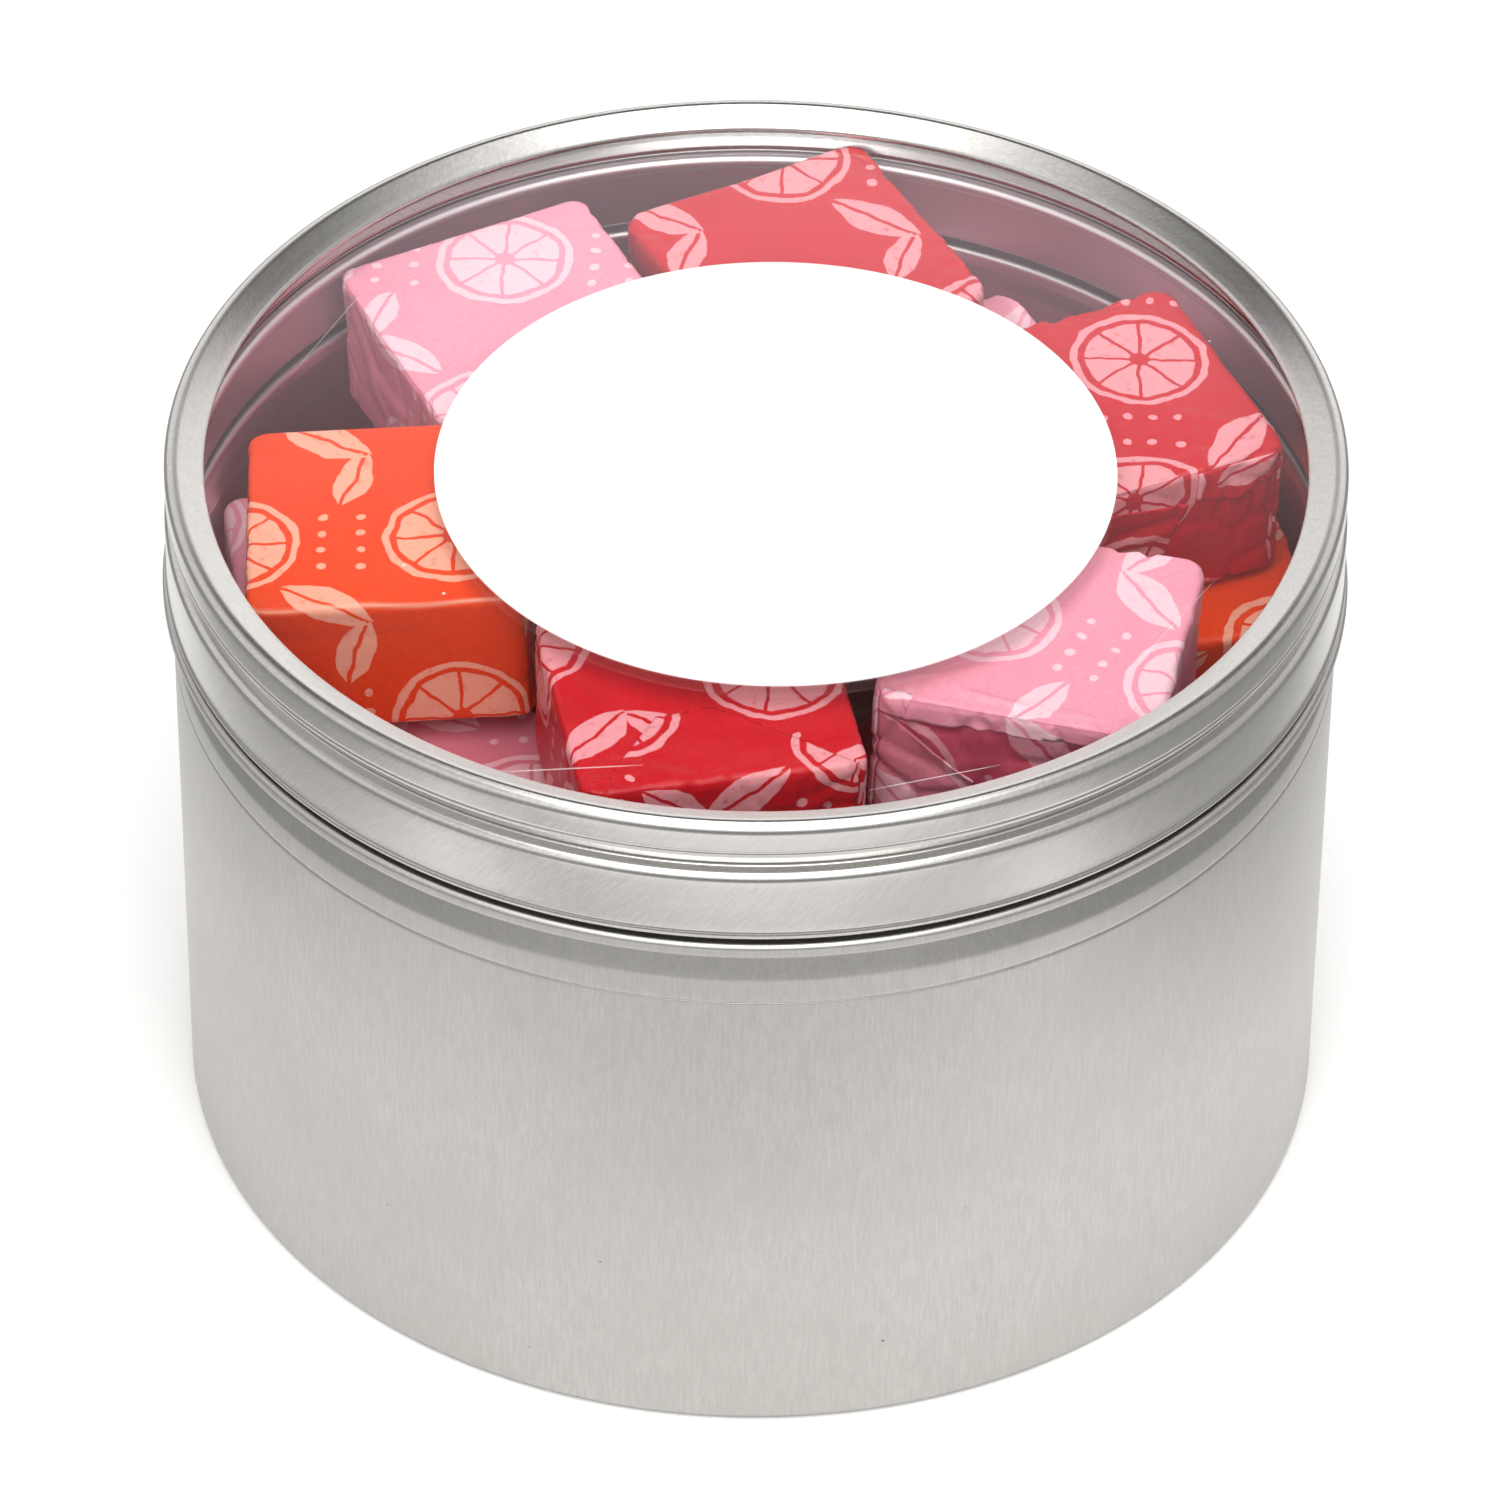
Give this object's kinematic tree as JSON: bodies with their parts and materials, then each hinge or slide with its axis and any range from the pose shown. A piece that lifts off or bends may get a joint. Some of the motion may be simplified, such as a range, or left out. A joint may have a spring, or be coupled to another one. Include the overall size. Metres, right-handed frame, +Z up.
{
  "type": "window lid tin",
  "caption": "Round slip-lid metal tin with a clear window in its lid and a blank round label, filled with small paper-wrapped chews; the lid lifts straight off.",
  "frame": {"origin": "centre of the base, on the surface the tin stands on", "axes": "+Z up, along the tin's axis, the way the lid lifts; -Y toward the front"},
  "size_m": [0.08, 0.08, 0.0526],
  "materials": {
    "tinplate_can": "satin brushed tinplate",
    "tinplate_lid": "satin brushed tinplate, brighter on the rolled edges",
    "window_film": "clear, slightly milky, glossy",
    "label_paper": "smooth matte white, blank",
    "wrapper_pink": "waxed paper, semi-gloss, folded",
    "wrapper_red": "waxed paper, semi-gloss, folded",
    "wrapper_orange": "waxed paper, semi-gloss, folded"
  },
  "bodies": {
    "tin": {"tin_body": "tinplate_can", "pink_chew_1": "wrapper_pink", "red_chew_1": "wrapper_red", "red_chew_2": "wrapper_red", "pink_chew_2": "wrapper_pink", "red_chew_3": "wrapper_red", "orange_chew_1": "wrapper_orange", "orange_chew_2": "wrapper_orange", "pink_chew_3": "wrapper_pink", "orange_chew_3": "wrapper_orange", "pink_chew_4": "wrapper_pink", "pink_chew_5": "wrapper_pink", "pink_chew_6": "wrapper_pink", "red_chew_4": "wrapper_red", "orange_chew_4": "wrapper_orange", "pink_chew_7": "wrapper_pink", "red_chew_5": "wrapper_red", "orange_chew_5": "wrapper_orange", "pink_chew_8": "wrapper_pink", "red_chew_6": "wrapper_red", "red_chew_7": "wrapper_red", "pink_chew_9": "wrapper_pink", "pink_chew_10": "wrapper_pink", "red_chew_8": "wrapper_red", "orange_chew_6": "wrapper_orange"},
    "lid": {"lid_ring": "tinplate_lid", "window_pane": "window_film", "label_disc": "label_paper"}
  },
  "joints": [
    {"name": "lid_lift", "type": "slide", "parent": "tin", "child": "lid", "axis": [0, 0, 1], "range_m": [0, 0.05]}
  ]
}
